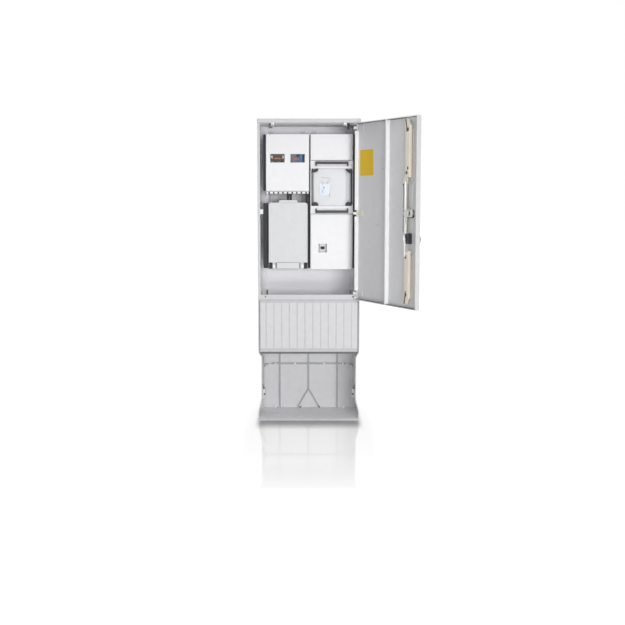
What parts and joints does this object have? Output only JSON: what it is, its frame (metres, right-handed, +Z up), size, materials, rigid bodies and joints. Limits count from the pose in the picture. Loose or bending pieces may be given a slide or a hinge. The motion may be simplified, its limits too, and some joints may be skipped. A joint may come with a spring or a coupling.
{
  "type": "electric meter box",
  "caption": "Free-standing electric meter pillar on a waisted base, its door swung open over covered fields, a meter hood, a fuse box and rod locks.",
  "frame": {"origin": "middle of the base's footprint, on the ground under the floor plate", "axes": "+X to the right as seen from the front, +Y to the rear, +Z up"},
  "size_m": [0.845, 0.7756, 1.69],
  "materials": {
    "housing_grp": "light grey glass-fibre moulding, fine grain",
    "base_grp": "light grey glass-fibre moulding, fine grain",
    "door_grp": "light grey glass-fibre moulding, fine grain",
    "cover_white": "white, satin",
    "tray_white": "white, satin",
    "box_grey": "light grey, satin",
    "rail_zinc": "zinc-plated",
    "screw_steel": "zinc-plated",
    "terminal_brown": "brown moulding",
    "terminal_blue": "blue moulding",
    "terminal_copper": "plain metal",
    "module_black": "black, satin",
    "module_lavender": "lavender grey, satin",
    "switch_grey": "grey, satin",
    "hood_clear": "clear moulding",
    "black_plastic": "black, satin",
    "rod_ivory": "ivory, satin",
    "bar_zinc": "zinc-plated",
    "hinge_cream": "greenish cream, satin",
    "latch_grey": "light grey green, satin",
    "pin_steel": "plain steel",
    "buffer_rubber": "black, matt",
    "label_yellow": "yellow, bare",
    "fuse_ceramic": "white, glazed"
  },
  "bodies": {
    "pillar": {"base_lower_moulding": "base_grp", "base_upper_moulding": "base_grp", "base_floor_plate": "base_grp", "base_screws": "screw_steel", "base_side_hooks": "base_grp", "base_front_panel": "base_grp", "cabinet_housing": "housing_grp", "roof_cap": "housing_grp", "roof_liner": "housing_grp", "roof_strikers": "cover_white", "mid_keeper": "cover_white", "sill_tabs": "black_plastic", "support_rails": "rail_zinc", "upper_left_tray": "tray_white", "upper_left_cover": "cover_white", "upper_right_tray": "tray_white", "upper_right_cover": "cover_white", "lower_right_tray": "tray_white", "lower_right_cover": "cover_white", "device_rails": "rail_zinc", "line_terminal_block": "terminal_brown", "neutral_terminal_block": "terminal_blue", "terminal_screws": "terminal_copper", "black_modules": "module_black", "control_module": "module_lavender", "service_switch": "switch_grey", "meter_board": "cover_white", "meter_hood": "hood_clear", "meter_hood_frame": "black_plastic", "clamp_bars": "cover_white", "service_box_tray": "box_grey", "service_box_cover": "box_grey", "cover_screws": "screw_steel", "fuse_bases": "fuse_ceramic", "fuse_links": "fuse_ceramic", "riser_collar": "box_grey", "riser_glands": "cover_white", "cable_entry_comb": "cover_white", "hinge_brackets": "hinge_cream"},
    "door": {"door_panel": "door_grp", "hinge_leaves": "hinge_cream", "hinge_pins": "pin_steel", "rod_guides": "door_grp", "lock_case": "black_plastic", "handle_plate": "black_plastic", "mid_latch_base": "latch_grey", "door_catch": "hinge_cream", "catch_buffer": "buffer_rubber", "label_plate": "label_yellow"},
    "lock": {"door_handle": "black_plastic", "lock_cam": "bar_zinc"},
    "upper_rods": {"upper_rod": "rod_ivory", "upper_drive_bar": "bar_zinc"},
    "lower_rods": {"lower_rod": "rod_ivory", "lower_link": "bar_zinc"},
    "latch": {"mid_latch": "latch_grey"},
    "upper_bail_body": {"upper_bail": "black_plastic"},
    "lower_bail_body": {"lower_bail": "black_plastic"},
    "toggle": {"service_switch_toggle": "black_plastic"}
  },
  "joints": [
    {"name": "door_hinge", "type": "hinge", "parent": "pillar", "child": "door", "pos_m": [0.266, -0.155, 1.173], "axis": [0, 0, 1], "range_deg": [-120.5, 8]},
    {"name": "upper_rod_slide", "type": "slide", "parent": "door", "child": "upper_rods", "axis": [0, 0, 1], "range_m": [0, 0.009]},
    {"name": "lower_rod_slide", "type": "slide", "parent": "door", "child": "lower_rods", "axis": [0, 0, -1], "range_m": [0, 0.00905]},
    {"name": "handle_turn", "type": "hinge", "parent": "door", "child": "lock", "pos_m": [0.50251, -0.55652, 1.051], "axis": [-0.8616, -0.5075, 0], "range_deg": [0, 90]},
    {"name": "latch_turn", "type": "hinge", "parent": "door", "child": "latch", "pos_m": [0.51063, -0.5703, 1.181], "axis": [-0.8616, -0.5075, 0], "range_deg": [0, 90.5]},
    {"name": "upper_bail_swing", "type": "hinge", "parent": "pillar", "child": "upper_bail_body", "pos_m": [0.1295, -0.0715, 1.4385], "axis": [1, 0, 0], "range_deg": [0, 85]},
    {"name": "lower_bail_swing", "type": "hinge", "parent": "pillar", "child": "lower_bail_body", "pos_m": [0.1295, -0.0715, 1.1945], "axis": [1, 0, 0], "range_deg": [-85, 0]},
    {"name": "toggle_turn", "type": "hinge", "parent": "pillar", "child": "toggle", "pos_m": [0.07825, -0.0455, 0.975], "axis": [1, 0, 0], "range_deg": [-20, 20]}
  ],
  "couplings": [
    {"joint": "lower_rod_slide", "follows": "upper_rod_slide", "ratio": 1},
    {"joint": "handle_turn", "follows": "upper_rod_slide", "rad_per_m": 174.5},
    {"joint": "latch_turn", "follows": "upper_rod_slide", "rad_per_m": 174.5}
  ]
}
